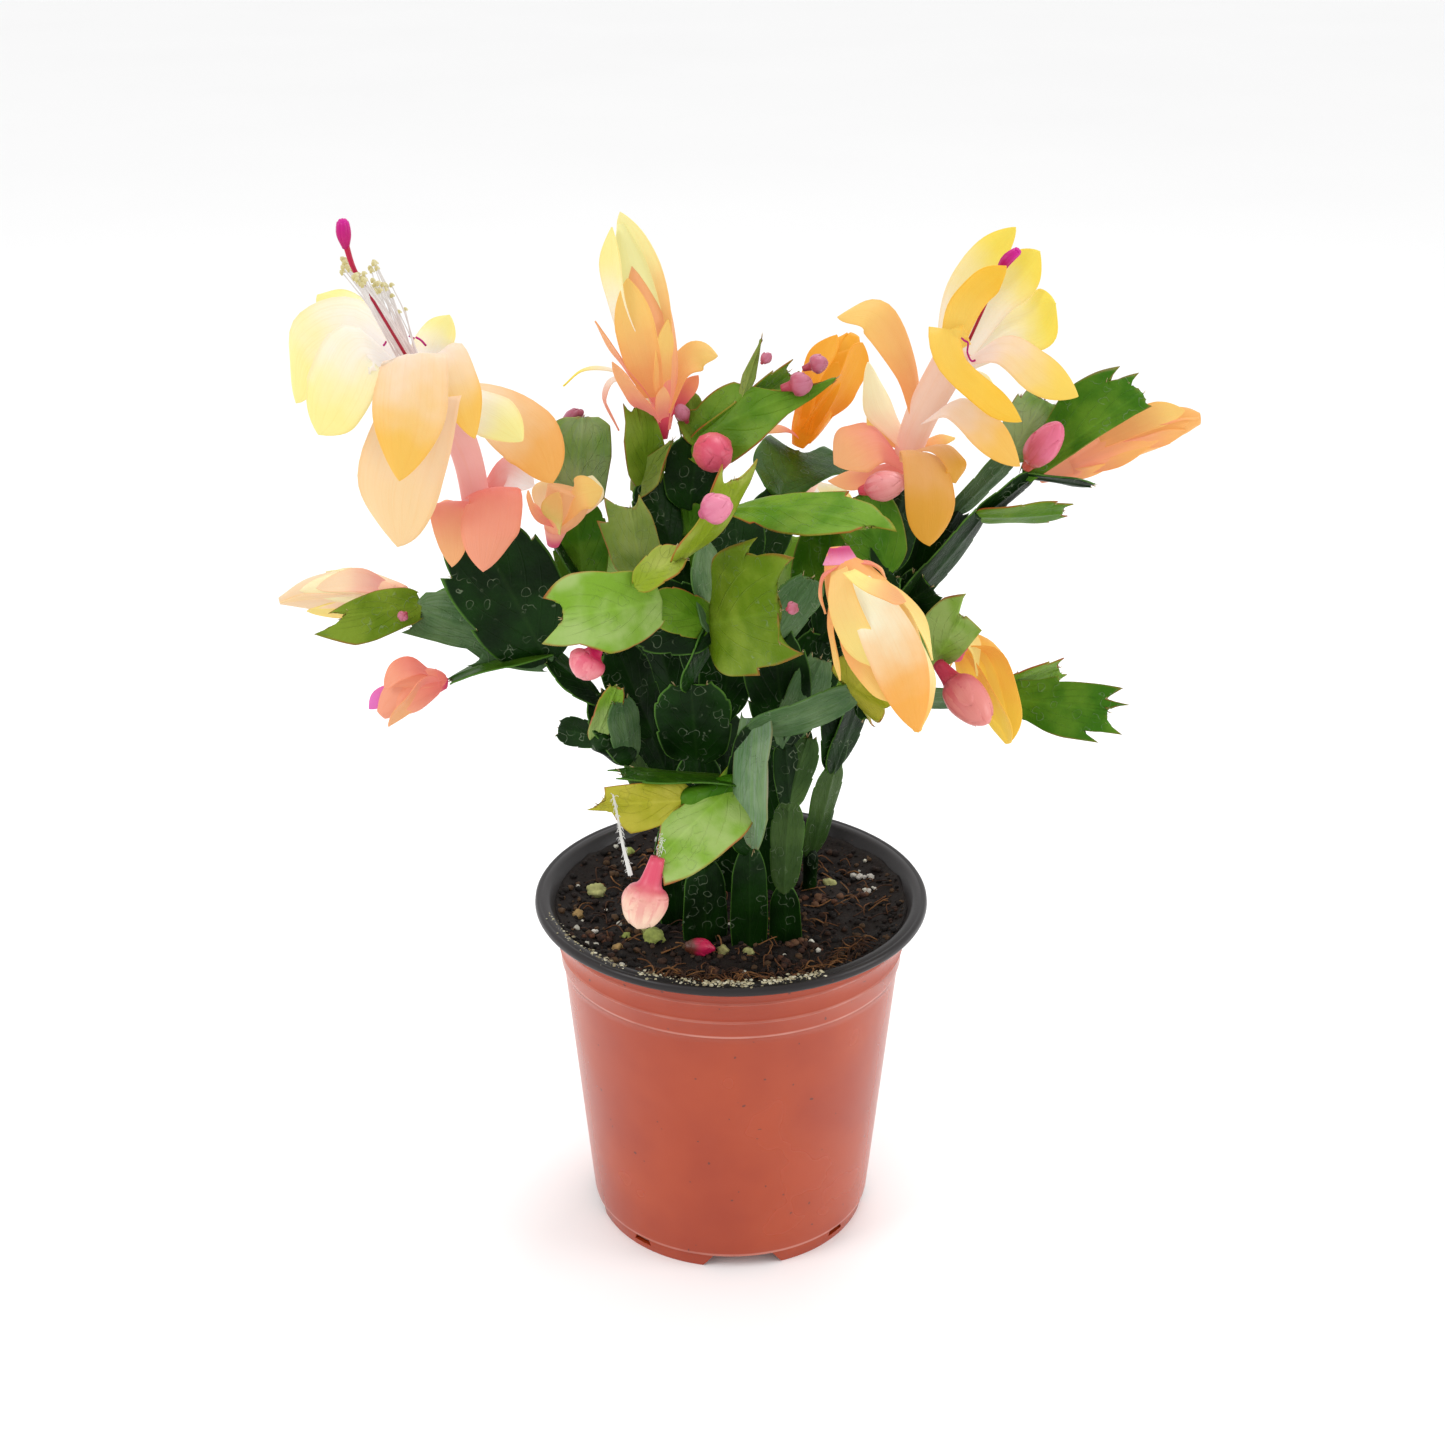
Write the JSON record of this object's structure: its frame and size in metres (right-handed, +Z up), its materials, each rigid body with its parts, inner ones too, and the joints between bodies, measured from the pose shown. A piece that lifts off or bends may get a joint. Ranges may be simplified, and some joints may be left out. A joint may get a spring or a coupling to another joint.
{
  "type": "potted cactus",
  "caption": "Thanksgiving cactus in bloom: flat toothed segments in arching leafy stems, orange-yellow flowers and pink buds, in a soil-filled growers' pot.",
  "frame": {"origin": "middle of the whole object's box, on the surface that the pot stands on", "axes": "+Z up, -Y towards the side that the picture shows"},
  "size_m": [0.2466, 0.1584, 0.2949],
  "materials": {
    "pot": "glossy terracotta plastic, black inside and on the rim",
    "soil": "dark loose peat",
    "segment": "waxy green, light on the young segments",
    "petal": "silky, yellow to orange, pink at the throat",
    "pistil": "crimson, satin",
    "bud": "satin pink",
    "fibre": "dull white thread"
  },
  "bodies": {
    "root": {"pot": "pot", "soil": "soil", "stem_front_left": "segment", "stem_front_middle": "segment", "stem_front_right": "segment", "stem_right": "segment", "stem_left": "segment", "stem_upper_left": "segment", "stem_top": "segment", "stem_upper_right": "segment", "stem_back_left": "segment", "stem_back_right": "segment", "bloom_a": "petal", "bloom_b": "petal", "bloom_c": "petal", "bloom_d": "petal", "bloom_e": "petal", "bloom_f": "petal", "bloom_g": "petal", "bloom_h": "petal", "bloom_i": "petal", "bloom_j": "petal", "bloom_back": "petal", "pistil_a": "pistil", "pistil_d": "pistil", "bud_top_end_on": "bud", "bud_on_folded_segment": "bud", "bud_left_round": "bud", "bud_top_right": "bud", "bud_top_far": "bud", "bud_behind_pale": "bud", "bud_top_small": "bud", "bud_under_bloom": "bud", "bud_right": "bud", "bud_right_low": "bud", "bud_front_low": "bud", "bud_on_olive": "bud", "bud_red_top": "bud", "bud_far_top_left": "bud", "bud_left_end": "bud", "fallen_bud": "bud", "white_fibre": "fibre"}
  },
  "joints": []
}
